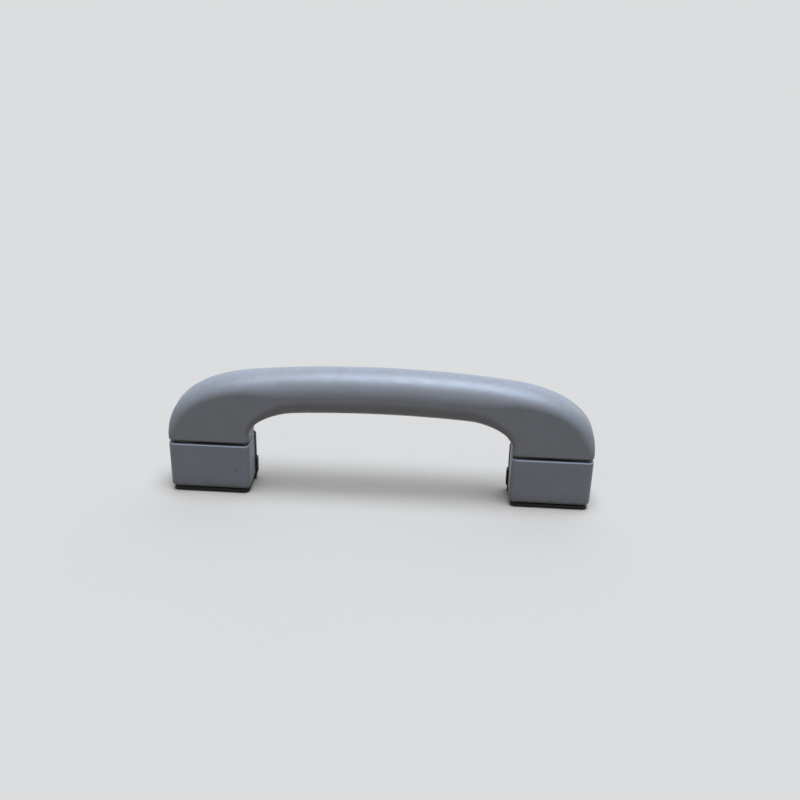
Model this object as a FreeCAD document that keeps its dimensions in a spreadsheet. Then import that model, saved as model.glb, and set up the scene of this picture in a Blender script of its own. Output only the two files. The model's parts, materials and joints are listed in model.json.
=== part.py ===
import FreeCAD, Part
import os
import Sketcher
import PartDesign
from FreeCAD import Placement, Rotation, Vector

# Folding roof grab handle, in millimetres. X runs along the handle, -Y faces the
# passenger, +Y is the roof, and Z = 0 is the surface that the two feet stand on.

doc = FreeCAD.newDocument("RoofGrabHandle")

# Driving dimensions

SIZES = [
    ("overall_length", 226.0, "outer side to outer side of the two feet"),
    ("foot_width", 43.3, "each foot and its cover, along the handle"),
    ("body_depth", 20.0, "front of the grip to its back"),
    ("stand_off", 0.6, "bracket plates behind the back of the grip"),
    ("cover_height", 26.0, "screw cover"),
    ("cover_lift", 2.6, "underside of the cover above the surface"),
    ("cover_taper", 0.4, "outer side of the cover, over its height"),
    ("cover_wall", 1.8, "screw cover"),
    ("seam_gap", 1.4, "cover to foot"),
    ("bow_height", 42.0, "top of the bow above the seam"),
    ("bow_radius", 632.0, "gentle bow of the grip"),
    ("grip_height", 23.9, "grip section at mid length"),
    ("inner_run", 22.5, "inner corner, along the handle"),
    ("outer_fullness", 2.2, "exponent of the outer shoulder curve"),
    ("inner_fullness", 2.0, "exponent of the inner shoulder curve"),
    ("foot_base", 4.0, "straight sides of the foot above its lower edge"),
    ("foot_corner", 3.0, "upright corners of foot and cover"),
    ("foot_back_corner", 6.0, "outer back corner of the foot"),
    ("palm_corner", 12.0, "outer front corner of the grip section"),
    ("back_corner", 7.4, "outer back corner of the grip section"),
    ("finger_corner", 9.4, "inner corners of the grip section"),
    ("palm_growth", 0.6, "exponent at which outer corners grow up the shoulder"),
    ("finger_growth", 1.6, "exponent at which inner corners grow up the shoulder"),
    ("seam_round", 1.2, "lower edge of the foot"),
    ("pivot_setback", 6.0, "pivot behind the front face"),
    ("pivot_rise", 11.0, "pivot above the lower edge of the foot"),
    ("pocket_width", 31.3, "hinge pocket in each foot"),
    ("pocket_gap", 0.3, "pocket round the nose of the ear"),
    ("pocket_ceiling", 7.3, "ceiling of the pocket above the pivot"),
    ("pocket_slope", 3.5, "run of the sloped part of the ceiling"),
    ("ear_nose", 4.0, "radius of the ear round the pivot"),
    ("ear_wall", 3.0, "thickness of each ear"),
    ("ear_gap", 0.65, "ear to the side of the pocket"),
    ("ear_root", 5.5, "top of the ear and tongue above the pivot"),
    ("pin_radius", 2.0, "steel pivot pin"),
    ("pin_seat", 4.0, "pin in each side wall of the pocket"),
    ("pin_play", 0.05, "running clearance round the pin"),
    ("pin_end_play", 0.2, "pin to the end of its seat"),
    ("snap_slot", 3.4, "throat that the pin snaps through"),
    ("bush_radius", 2.9, "bush in the ear"),
    ("bush_flange", 3.7, "flange of the bush"),
    ("bush_flange_wall", 0.5, "flange of the bush"),
    ("plate_wall", 3.3, "bracket plate against the roof"),
    ("plate_proud", 0.4, "bracket plate beyond the cover's sides"),
    ("plate_corner", 1.6, "corners of the bracket plate"),
    ("lug_reach", 0.8, "locating lug beyond the inner side of the plate"),
    ("lug_rise", 3.8, "lower end of the lug above the surface"),
    ("lug_height", 9.6, "locating lug"),
    ("tongue_gap", 1.0, "tongue of the plate to the side of the pocket"),
    ("sole_wall", 2.3, "sole of the bracket"),
    ("sole_inset", 1.0, "sole behind the cover's front and sides"),
    ("screw_radius", 3.25, "clearance hole for a 6 mm screw"),
    ("sleeve_radius", 4.6, "steel sleeve round the screw"),
    ("boss_radius", 7.4, "screw boss"),
    ("boss_reach", 8.3, "screw boss in front of the plate"),
    ("rib_wall", 1.8, "ribs beside the boss"),
    ("rib_reach", 5.0, "ribs in front of the plate"),
    ("rib_gap", 0.6, "ribs to the inside of the cover"),
    ("cover_gap", 0.2, "back edge of the cover to the plate"),
    ("cover_top_round", 0.8, "upper edge of the cover"),
    ("cover_foot_round", 2.2, "lower edge of the cover"),
    ("catch_height", 7.0, "snap catches of the cover"),
    ("catch_wall", 1.1, "snap catches of the cover"),
    ("catch_reach", 2.6, "snap catches behind the cover's edge"),
    ("catch_gap", 0.25, "snap catch in its window"),
    ("pad_wall", 1.5, "rubber stop on the tongue"),
    ("pad_width", 14.0, "rubber stop on the tongue"),
    ("pad_stem", 1.1, "radius of the stem of the stop"),
    ("pad_stem_depth", 3.5, "stem of the stop in the tongue"),
    ("wire_radius", 0.55, "return spring"),
    ("coil_radius", 3.1, "return spring, to the middle of the wire"),
    ("coil_pitch", 1.6, "return spring"),
    ("coil_turns", 5.75, "return spring"),
    ("leg_rise", 11.0, "leg of the spring above the pivot"),
    ("leg_gap", 0.2, "hole round the leg of the spring"),
    ("damper_radius", 4.1, "damper barrel"),
    ("rotor_gap", 0.4, "damper rotor to each ear"),
    ("rotor_radius", 3.0, "damper rotor"),
    ("rotor_play", 0.08, "barrel round the rotor"),
    ("rotor_overhang", 3.6, "rotor beyond each end of the barrel"),
    ("key_wall", 2.0, "key of the barrel and arm of the rotor"),
    ("key_length", 6.0, "key of the barrel, along the pivot"),
    ("key_reach", 6.6, "top of the key above the pivot"),
    ("key_gap", 0.1, "key in its groove"),
    ("key_depth", 0.8, "arm of the rotor in the plate"),
]

sheet = doc.addObject("Spreadsheet::Sheet", "Sizes")
for row, (alias, number, note) in enumerate(SIZES, start=1):
    sheet.set(f"A{row}", alias)
    sheet.set(f"B{row}", str(number))
    sheet.set(f"C{row}", note)
    sheet.setAlias(f"B{row}", alias)
doc.recompute()

# Places that several pieces share, as expressions of the sizes

FRONT = "(-(Sizes.body_depth + Sizes.stand_off) / 2)"
MOUNT = "((Sizes.body_depth + Sizes.stand_off) / 2)"
GRIP_BACK = f"({MOUNT} - Sizes.stand_off)"
PLATE_FRONT = f"({MOUNT} - Sizes.plate_wall)"
COVER_TOP = "(Sizes.cover_lift + Sizes.cover_height)"
SEAM = f"({COVER_TOP} + Sizes.seam_gap)"
PIVOT_Y = f"({FRONT} + Sizes.pivot_setback)"
PIVOT_Z = f"({SEAM} + Sizes.pivot_rise)"
FOOT_CENTRE = "((Sizes.overall_length - Sizes.foot_width) / 2)"
SCREW_Z = f"({COVER_TOP} / 2)"
SHOULDER_Z = f"({SEAM} + Sizes.foot_base)"
FOOT_SECTION_Z = f"({SEAM} + Sizes.foot_base / 2)"
SHOULDER_X = "(Sizes.overall_length / 2 - Sizes.foot_width - Sizes.inner_run)"
POCKET_NOSE = "(Sizes.ear_nose + Sizes.pocket_gap)"
EAR_OUTER = "(Sizes.pocket_width / 2 - Sizes.ear_gap)"
EAR_INNER = f"({EAR_OUTER} - Sizes.ear_wall)"
SIDES = (("left", -1), ("right", 1))
OVERCUT = 1.0

nodes = []


def value(expression):
    """Number that an expression gives with the present sizes."""
    return float(sheet.evalExpression(str(expression)))


def new_body(label):
    """Body whose Label names the piece's own file."""
    body = doc.addObject("PartDesign::Body", label)
    body.Label = label
    nodes.append(body)
    return body


def new_sketch(body, name, plane, offset=(0, 0, 0), turn=None):
    """Sketch on one of the body's origin planes, moved by expressions in that plane's axes."""
    sketch = body.newObject("Sketcher::SketchObject", name)
    origin = [item for item in body.Origin.OriginFeatures if item.Role == plane]
    sketch.AttachmentSupport = [(origin[0], "")]
    sketch.MapMode = "FlatFace"
    sketch.AttachmentOffset = Placement(Vector(), turn or Rotation())
    for axis, expression in zip("xyz", offset):
        sketch.setExpression(f"AttachmentOffset.Base.{axis}", str(expression))
    return sketch


def outline(sketch, corners, arcs=None):
    """Closed outline through corners; arcs maps a corner's index to (radius, centre) of the next edge."""
    arcs = arcs or {}
    places = [Vector(value(x), value(y), 0) for x, y in corners]
    ends = []
    for index, start in enumerate(places):
        stop = places[(index + 1) % len(places)]
        if index in arcs:
            radius, centre = arcs[index]
            middle = Vector(value(centre[0]), value(centre[1]), 0)
            crown = ((start + stop) * 0.5 - middle).normalize() * value(radius) + middle
            edge = sketch.addGeometry(Part.Arc(start, crown, stop))
            forward = sketch.getPoint(edge, 1).distanceToPoint(start) < 1e-6
            ends.append((edge, 1, 2) if forward else (edge, 2, 1))
        else:
            edge = sketch.addGeometry(Part.LineSegment(start, stop))
            ends.append((edge, 1, 2))
    for index, (edge, first, last) in enumerate(ends):
        following = ends[(index + 1) % len(ends)]
        sketch.addConstraint(Sketcher.Constraint("Coincident", edge, last, following[0], following[1]))
        pin_point(sketch, edge, first, corners[index])
        if index in arcs:
            bind(sketch, Sketcher.Constraint("Radius", edge, value(arcs[index][0])), arcs[index][0])


def pin_point(sketch, edge, end, place):
    """Holds a point of the sketch at two expressions."""
    for kind, expression in zip(("DistanceX", "DistanceY"), place):
        bind(sketch, Sketcher.Constraint(kind, -1, 1, edge, end, value(expression)), expression)


def bind(sketch, constraint, expression):
    """Adds a constraint whose value follows an expression."""
    index = sketch.addConstraint(constraint)
    sketch.setExpression(f"Constraints[{index}]", str(expression))


def rectangle(sketch, left, right, low, high):
    """Plain rectangle between four expressions."""
    outline(sketch, [(left, low), (right, low), (right, high), (left, high)])


def round_rectangle(sketch, left, right, low, high, radii):
    """Rectangle with arcs for corners; their radii go round from the left low one."""
    sides = ((left, low, "+", "+"), (right, low, "-", "+"), (right, high, "-", "-"), (left, high, "+", "-"))
    corners = []
    arcs = {}
    for index, ((x, y, way_x, way_y), radius) in enumerate(zip(sides, radii)):
        centre = (f"{x} {way_x} {radius}", f"{y} {way_y} {radius}")
        ends = [(x, centre[1]), (centre[0], y)]
        arcs[len(corners)] = (radius, centre)
        corners += ends if index % 2 == 0 else ends[::-1]
    outline(sketch, corners, arcs)


def circle(sketch, x, y, radius):
    """Circle whose centre and radius are expressions."""
    edge = sketch.addGeometry(Part.Circle(Vector(value(x), value(y), 0), Vector(0, 0, 1), value(radius)))
    pin_point(sketch, edge, 3, (x, y))
    bind(sketch, Sketcher.Constraint("Radius", edge, value(radius)), radius)


def octagon(sketch, x, y, radius):
    """Eight-sided wire section round a centre; coils of it stay light."""
    corners = [(f"{x} + {radius} * cos({22.5 + 45 * side} deg)", f"{y} + {radius} * sin({22.5 + 45 * side} deg)")
               for side in range(8)]
    outline(sketch, corners)


def feature(body, kind, name, sketch, length, symmetric=False, reversed_side=False):
    """Pad or pocket of a sketch over a length."""
    made = body.newObject(f"PartDesign::{kind}", name)
    made.Profile = sketch
    made.setExpression("Length", str(length))
    made.SideType = "Symmetric" if symmetric else "One side"
    made.Reversed = reversed_side
    sketch.Visibility = False
    doc.recompute()
    return made


def turned(label, axis, place, corners):
    """Turned piece: corners are (along the axis, radius) about a line parallel to X or Y."""
    body = new_body(label)
    sketch = new_sketch(body, f"{label}_section", "XY_Plane", place)
    if axis == "X":
        outline(sketch, corners)
    else:
        outline(sketch, [(radius, along) for along, radius in corners])
    spin = body.newObject("PartDesign::Revolution", f"{label}_turning")
    spin.Profile = sketch
    spin.ReferenceAxis = (sketch, ["H_Axis" if axis == "X" else "V_Axis"])
    spin.Angle = 360.0
    doc.recompute()
    return body


def edges_where(source, test):
    """Names of the edges of a feature that meet a test."""
    return [f"Edge{number}" for number, edge in enumerate(source.Shape.Edges, start=1) if test(edge)]


def fillet(body, name, source, test, radius):
    """Rounds the edges of the last feature that meet a test."""
    made = body.newObject("PartDesign::Fillet", name)
    made.Base = (source, edges_where(source, test))
    made.setExpression("Radius", str(radius))
    doc.recompute()
    return made


def lies_at(edge, axis, place, slack=0.01):
    """Whether a whole edge lies in a plane across an axis."""
    box = edge.BoundBox
    low = getattr(box, f"{axis}Min")
    high = getattr(box, f"{axis}Max")
    return abs(low - place) < slack and abs(high - place) < slack


# Grip: sections swung about the inner corners, lofted from seam to seam

SHOULDER_ANGLES = (0, 6, 16, 31, 49, 69, 90)
BOW_STATIONS = (-0.5, 0, 0.5)


def bow_top(x):
    """Top of the bow above the shoulder line, at a distance from mid length."""
    return f"(Sizes.bow_height - Sizes.foot_base - ({x})^2 / (2 * Sizes.bow_radius))"


def shoulder_curve(run, rise, angle, power):
    """Distance from the shoulder's centre to a superellipse that leans to meet the bow's slope."""
    cosine = f"cos({angle} deg)"
    sine = f"sin({angle} deg)"
    curve = f"((({cosine} / {run})^{power} + ({sine} / {rise})^{power})^(-1 / {power}))"
    return f"({curve} * (1 - {SHOULDER_X} / Sizes.bow_radius * {cosine} * {sine}^4))"


def grown_corner(foot, grip, sine, growth):
    """Corner radius on its way from the foot to the grip."""
    return f"({foot} + ({grip} - {foot}) * {sine}^{growth})"


def grip_section(body, name, place, swing, inner, outer, steepness):
    """Section in the plane that holds the Y axis and the given swing above the handle's length."""
    turn = Rotation(Vector(0, 1, 0), -swing)
    sketch = new_sketch(body, name, "XY_Plane", place, turn)
    finger = grown_corner("Sizes.foot_corner", "Sizes.finger_corner", steepness, "Sizes.finger_growth")
    palm = grown_corner("Sizes.foot_corner", "Sizes.palm_corner", steepness, "Sizes.palm_growth")
    back = grown_corner("Sizes.foot_back_corner", "Sizes.back_corner", steepness, "Sizes.palm_growth")
    round_rectangle(sketch, inner, outer, FRONT, GRIP_BACK, (finger, palm, back, finger))
    return sketch


def shoulder_sections(body, side_name, sign):
    """Sections from halfway up one foot's straight base to the end of the bow."""
    rise_outer = bow_top(SHOULDER_X)
    rise_inner = f"({rise_outer} - Sizes.grip_height)"
    run_outer = "(Sizes.inner_run + Sizes.foot_width)"
    centre = f"{sign} * {SHOULDER_X}"
    foot = grip_section(body, f"{side_name}_foot", (centre, 0, FOOT_SECTION_Z), 0 if sign > 0 else 180,
                        "Sizes.inner_run", run_outer, "0")
    sections = [foot]
    for angle in SHOULDER_ANGLES:
        inner = shoulder_curve("Sizes.inner_run", rise_inner, angle, "Sizes.inner_fullness")
        outer = shoulder_curve(run_outer, rise_outer, angle, "Sizes.outer_fullness")
        swing = angle if sign > 0 else 180 - angle
        name = f"{side_name}_shoulder_{angle}"
        steepness = f"sin({angle} deg)"
        sections.append(grip_section(body, name, (centre, 0, SHOULDER_Z), swing, inner, outer, steepness))
    return sections


def build_grip():
    """Moulded grip with a hinge pocket in the back and underside of each foot."""
    body = new_body("grip")
    left = shoulder_sections(body, "left", -1)
    right = shoulder_sections(body, "right", 1)
    middle = []
    for index, station in enumerate(BOW_STATIONS):
        x = f"({station} * {SHOULDER_X})"
        outer = bow_top(x)
        inner = f"({outer} - Sizes.grip_height)"
        middle.append(grip_section(body, f"bow_{index}", (x, 0, SHOULDER_Z), 90, inner, outer, "1"))
    doc.recompute()
    sections = left + middle + right[::-1]
    loft = body.newObject("PartDesign::AdditiveLoft", "grip_loft")
    loft.Profile = sections[0]
    loft.Sections = sections[1:]
    doc.recompute()
    feature(body, "Pad", "left_foot_base", left[0], f"{FOOT_SECTION_Z} - {SEAM}")
    base = feature(body, "Pad", "right_foot_base", right[0], f"{FOOT_SECTION_Z} - {SEAM}", reversed_side=True)
    seam_height = value(SEAM)
    fillet(body, "grip_seam_edges", base, lambda edge: lies_at(edge, "Z", seam_height), "Sizes.seam_round")
    for side_name, sign in SIDES:
        centre = f"{sign} * {FOOT_CENTRE}"
        hinge_pocket(body, side_name, centre)
        if side_name == "left":
            spring_leg_hole(body, centre)
        else:
            damper_key_groove(body, centre)
    return body


def hinge_pocket(body, side_name, centre):
    """Pocket for the bracket's ears, the pin's snap seats and the swing relief of one foot."""
    below = f"({SEAM} - {OVERCUT})"
    behind = f"({GRIP_BACK} + {OVERCUT})"
    ceiling = f"({PIVOT_Z} + Sizes.pocket_ceiling)"
    crown = (f"({PIVOT_Y} + {POCKET_NOSE} * cos(110 deg))", f"({PIVOT_Z} + {POCKET_NOSE} * sin(110 deg))")
    sketch = new_sketch(body, f"{side_name}_pocket_outline", "YZ_Plane", (0, 0, centre))
    corners = [(f"{PIVOT_Y} - {POCKET_NOSE}", below), (f"{PIVOT_Y} - {POCKET_NOSE}", PIVOT_Z), crown,
               (f"{PIVOT_Y} + Sizes.pocket_slope", ceiling), (behind, ceiling), (behind, below)]
    outline(sketch, corners, {1: (POCKET_NOSE, (PIVOT_Y, PIVOT_Z))})
    feature(body, "Pocket", f"{side_name}_pocket", sketch, "Sizes.pocket_width", symmetric=True)

    seat_length = "Sizes.pocket_width + 2 * Sizes.pin_seat"
    seat = new_sketch(body, f"{side_name}_pin_seat_outline", "YZ_Plane", (0, 0, centre))
    circle(seat, PIVOT_Y, PIVOT_Z, "Sizes.pin_radius")
    feature(body, "Pocket", f"{side_name}_pin_seat", seat, seat_length, symmetric=True)

    throat = new_sketch(body, f"{side_name}_throat_outline", "YZ_Plane", (0, 0, centre))
    rectangle(throat, PIVOT_Y, behind, f"{PIVOT_Z} - Sizes.snap_slot / 2", f"{PIVOT_Z} + Sizes.snap_slot / 2")
    feature(body, "Pocket", f"{side_name}_throat", throat, seat_length, symmetric=True)

    reach = f"({GRIP_BACK} - {PIVOT_Y})"
    lower_y = f"({PIVOT_Y} + sqrt({reach}^2 - Sizes.pivot_rise^2))"
    relief = new_sketch(body, f"{side_name}_relief_outline", "YZ_Plane", (0, 0, centre))
    corners = [(GRIP_BACK, PIVOT_Z), (lower_y, SEAM), (lower_y, below), (behind, below), (behind, PIVOT_Z)]
    outline(relief, corners, {0: (reach, (PIVOT_Y, PIVOT_Z))})
    feature(body, "Pocket", f"{side_name}_relief", relief, "Sizes.foot_width * 1.2", symmetric=True)


def spring_leg_hole(body, centre):
    """Blind hole in the pocket's ceiling for the moving leg of the return spring."""
    sketch = new_sketch(body, "leg_hole_outline", "XY_Plane", (centre, 0, PIVOT_Z))
    circle(sketch, COIL_END, f"{PIVOT_Y} + Sizes.coil_radius", "Sizes.wire_radius + Sizes.leg_gap")
    depth = "Sizes.leg_rise + Sizes.leg_gap"
    feature(body, "Pocket", "leg_hole", sketch, depth, reversed_side=True)


def damper_key_groove(body, centre):
    """Groove above the pivot that keeps the damper's barrel from turning in the grip."""
    sketch = new_sketch(body, "key_groove_outline", "XY_Plane", (centre, 0, PIVOT_Z))
    half = "(Sizes.key_length / 2 + Sizes.key_gap)"
    rectangle(sketch, f"-{half}", half, f"{PIVOT_Y} - Sizes.key_wall - Sizes.key_gap", f"{PIVOT_Y} + Sizes.key_gap")
    feature(body, "Pocket", "key_groove", sketch, "Sizes.key_reach + Sizes.key_gap", reversed_side=True)


# Return spring: a torsion coil on the left pin

COIL_START = "(-Sizes.coil_pitch * Sizes.coil_turns / 2)"
COIL_END = "(Sizes.coil_pitch * Sizes.coil_turns / 2)"


def build_spring():
    """Coil with one leg on the bracket's plate and one up into the grip."""
    body = new_body("left_return_spring")
    centre = f"-{FOOT_CENTRE}"
    wire = new_sketch(body, "wire_section", "XZ_Plane", (centre, PIVOT_Z, f"-{PIVOT_Y}"))
    octagon(wire, COIL_START, "Sizes.coil_radius", "Sizes.wire_radius")
    coil = body.newObject("PartDesign::AdditiveHelix", "coil")
    coil.Profile = wire
    coil.ReferenceAxis = (wire, ["H_Axis"])
    coil.Mode = "pitch-turns-angle"
    coil.setExpression("Pitch", "Sizes.coil_pitch")
    coil.setExpression("Turns", "Sizes.coil_turns")
    doc.recompute()
    feature(body, "Pad", "fixed_leg", wire, f"{PLATE_FRONT} - {PIVOT_Y}", reversed_side=True)
    end = new_sketch(body, "leg_section", "XY_Plane", (centre, 0, PIVOT_Z))
    octagon(end, COIL_END, f"{PIVOT_Y} + Sizes.coil_radius", "Sizes.wire_radius")
    feature(body, "Pad", "moving_leg", end, "Sizes.leg_rise")
    return body


# Hinge brackets: plate against the roof, two ears on the pivot, screw boss and sole

def build_bracket(side_name, sign):
    """Black moulded bracket under one screw cover."""
    body = new_body(f"{side_name}_bracket")
    centre = f"{sign} * {FOOT_CENTRE}"
    half_foot = "(Sizes.foot_width / 2 + Sizes.plate_proud)"
    half_tongue = "(Sizes.pocket_width / 2 - Sizes.tongue_gap)"
    tongue_top = f"({PIVOT_Z} + Sizes.ear_root)"
    outer_foot = f"({sign} * ({half_foot} - Sizes.cover_taper))"

    plate = new_sketch(body, f"{side_name}_plate_outline", "XZ_Plane", (centre, 0, f"-{MOUNT}"))
    corners = [(f"{-sign} * {half_foot}", "0"), (outer_foot, "0"),
               (f"{sign} * {half_foot}", COVER_TOP), (f"{sign} * {half_tongue}", COVER_TOP),
               (f"{sign} * {half_tongue}", tongue_top), (f"{-sign} * {half_tongue}", tongue_top),
               (f"{-sign} * {half_tongue}", COVER_TOP), (f"{-sign} * {half_foot}", COVER_TOP)]
    outline(plate, corners)
    pad = feature(body, "Pad", f"{side_name}_plate", plate, "Sizes.plate_wall")
    inner_corner = value(half_tongue)
    cover_top = value(COVER_TOP)
    middle = value(centre)

    def is_outer_corner(edge):
        box = edge.BoundBox
        upright = box.XLength < 0.01 and box.ZLength < 0.01
        inside = abs(abs(box.XMin - middle) - inner_corner) < 0.01 and abs(box.ZMin - cover_top) < 0.01
        return upright and not inside

    fillet(body, f"{side_name}_plate_corners", pad, is_outer_corner, "Sizes.plate_corner")

    lug = new_sketch(body, f"{side_name}_lug_outline", "XZ_Plane", (centre, 0, f"-{MOUNT}"))
    lug_edge = f"({-sign} * ({half_foot} + Sizes.lug_reach))"
    lug_root = f"({-sign} * {half_tongue})"
    west, east = (lug_edge, lug_root) if sign > 0 else (lug_root, lug_edge)
    round_rectangle(lug, west, east, "Sizes.lug_rise", "(Sizes.lug_rise + Sizes.lug_height)",
                    ("Sizes.lug_reach",) * 4)
    feature(body, "Pad", f"{side_name}_lug", lug, "Sizes.plate_wall")

    sole_edge = "(Sizes.foot_width / 2 - Sizes.sole_inset)"
    sole_outer = f"({sign} * ({sole_edge} - Sizes.cover_taper))"
    sole_inner = f"({-sign} * {sole_edge})"
    west, east = (sole_inner, sole_outer) if sign > 0 else (sole_outer, sole_inner)
    sole = new_sketch(body, f"{side_name}_sole_outline", "XY_Plane", (centre, 0, 0))
    front = f"({FRONT} + Sizes.sole_inset)"
    turn_y = f"{front} + Sizes.foot_corner"
    back = f"({PLATE_FRONT} + Sizes.plate_wall / 2)"
    corners = [(f"{west} + Sizes.foot_corner", front), (f"{east} - Sizes.foot_corner", front),
               (east, turn_y), (east, back), (west, back), (west, turn_y)]
    arcs = {1: ("Sizes.foot_corner", (f"{east} - Sizes.foot_corner", turn_y)),
            5: ("Sizes.foot_corner", (f"{west} + Sizes.foot_corner", turn_y))}
    outline(sole, corners, arcs)
    feature(body, "Pad", f"{side_name}_sole", sole, "Sizes.sole_wall")

    for ear_name, ear_sign in (("inner", -sign), ("outer", sign)):
        ear_middle = f"{centre} + {ear_sign} * ({EAR_OUTER} - Sizes.ear_wall / 2)"
        ear = new_sketch(body, f"{side_name}_{ear_name}_ear_outline", "YZ_Plane", (0, 0, ear_middle))
        nose = (f"({PIVOT_Y} + Sizes.ear_nose * cos(110 deg))", f"({PIVOT_Z} + Sizes.ear_nose * sin(110 deg))")
        under = f"({PIVOT_Z} - Sizes.ear_nose)"
        slope_end = f"({PIVOT_Y} + Sizes.pocket_slope + Sizes.pocket_gap)"
        corners = [(back, under), (PIVOT_Y, under), (f"{PIVOT_Y} - Sizes.ear_nose", PIVOT_Z), nose,
                   (slope_end, tongue_top), (back, tongue_top)]
        arcs = {1: ("Sizes.ear_nose", (PIVOT_Y, PIVOT_Z)), 2: ("Sizes.ear_nose", (PIVOT_Y, PIVOT_Z))}
        outline(ear, corners, arcs)
        feature(body, "Pad", f"{side_name}_{ear_name}_ear", ear, "Sizes.ear_wall", symmetric=True)
    bush_bore = new_sketch(body, f"{side_name}_bush_bore_outline", "YZ_Plane", (0, 0, centre))
    circle(bush_bore, PIVOT_Y, PIVOT_Z, "Sizes.bush_radius")
    feature(body, "Pocket", f"{side_name}_bush_bore", bush_bore, "Sizes.pocket_width", symmetric=True)

    place = (centre, 0, f"-{PLATE_FRONT} - Sizes.plate_wall / 2")
    boss = new_sketch(body, f"{side_name}_boss_outline", "XZ_Plane", place)
    circle(boss, "0", SCREW_Z, "Sizes.boss_radius")
    feature(body, "Pad", f"{side_name}_boss", boss, "Sizes.boss_reach + Sizes.plate_wall / 2")
    rib_end = "(Sizes.foot_width / 2 - Sizes.cover_taper - Sizes.cover_wall - Sizes.rib_gap)"
    rib_top = f"({COVER_TOP} - Sizes.cover_wall - Sizes.rib_gap)"
    rib_bottom = "(Sizes.cover_lift + Sizes.cover_wall + Sizes.rib_gap)"
    long_rib = new_sketch(body, f"{side_name}_long_rib_outline", "XZ_Plane", place)
    rectangle(long_rib, f"-{rib_end}", rib_end, f"{SCREW_Z} - Sizes.rib_wall / 2", f"{SCREW_Z} + Sizes.rib_wall / 2")
    feature(body, "Pad", f"{side_name}_long_rib", long_rib, "Sizes.rib_reach + Sizes.plate_wall / 2")
    tall_rib = new_sketch(body, f"{side_name}_tall_rib_outline", "XZ_Plane", place)
    rectangle(tall_rib, "-Sizes.rib_wall / 2", "Sizes.rib_wall / 2", rib_bottom, rib_top)
    feature(body, "Pad", f"{side_name}_tall_rib", tall_rib, "Sizes.rib_reach + Sizes.plate_wall / 2")
    sleeve_bore = new_sketch(body, f"{side_name}_sleeve_bore_outline", "XZ_Plane", (centre, 0, 0))
    circle(sleeve_bore, "0", SCREW_Z, "Sizes.sleeve_radius")
    depth = "Sizes.body_depth * 2"
    feature(body, "Pocket", f"{side_name}_sleeve_bore", sleeve_bore, depth, symmetric=True)

    windows = new_sketch(body, f"{side_name}_window_outline", "XZ_Plane", place)
    for catch_sign in (-1, 1):
        west, east, low, high = catch_edges(catch_sign, "Sizes.catch_gap")
        rectangle(windows, west, east, low, high)
    feature(body, "Pocket", f"{side_name}_windows", windows, depth, symmetric=True)

    stem = new_sketch(body, f"{side_name}_stem_hole_outline", "XY_Plane", (centre, 0, tongue_top))
    circle(stem, "0", f"{PLATE_FRONT} + Sizes.plate_wall / 2", "Sizes.pad_stem")
    feature(body, "Pocket", f"{side_name}_stem_hole", stem, "Sizes.pad_stem_depth")
    if side_name == "right":
        slot = new_sketch(body, "rotor_slot_outline", "XZ_Plane", (centre, 0, f"-{PLATE_FRONT} - Sizes.key_depth"))
        half = "(Sizes.key_wall / 2 + Sizes.key_gap)"
        west = f"({ARM_START} - Sizes.key_gap)"
        east = f"({ROTOR_END} + Sizes.key_gap)"
        rectangle(slot, west, east, f"{PIVOT_Z} - {half}", f"{PIVOT_Z} + {half}")
        feature(body, "Pocket", "rotor_slot", slot, "Sizes.key_depth + Sizes.pocket_gap", reversed_side=True)
    return body


def catch_edges(catch_sign, gap):
    """Edges of a cover's snap catch, widened by a gap, about the middle of the cover."""
    outer = "(Sizes.foot_width / 2 - Sizes.cover_taper - Sizes.cover_wall / 4)"
    inner = f"({outer} - Sizes.catch_wall)"
    low = f"{SCREW_Z} - Sizes.catch_height / 2 - {gap}"
    high = f"{SCREW_Z} + Sizes.catch_height / 2 + {gap}"
    if catch_sign > 0:
        return f"({inner} - {gap})", f"({outer} + {gap})", low, high
    return f"(-{outer} - {gap})", f"(-{inner} + {gap})", low, high


# Screw covers: thin caps that pull off towards the passenger

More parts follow.
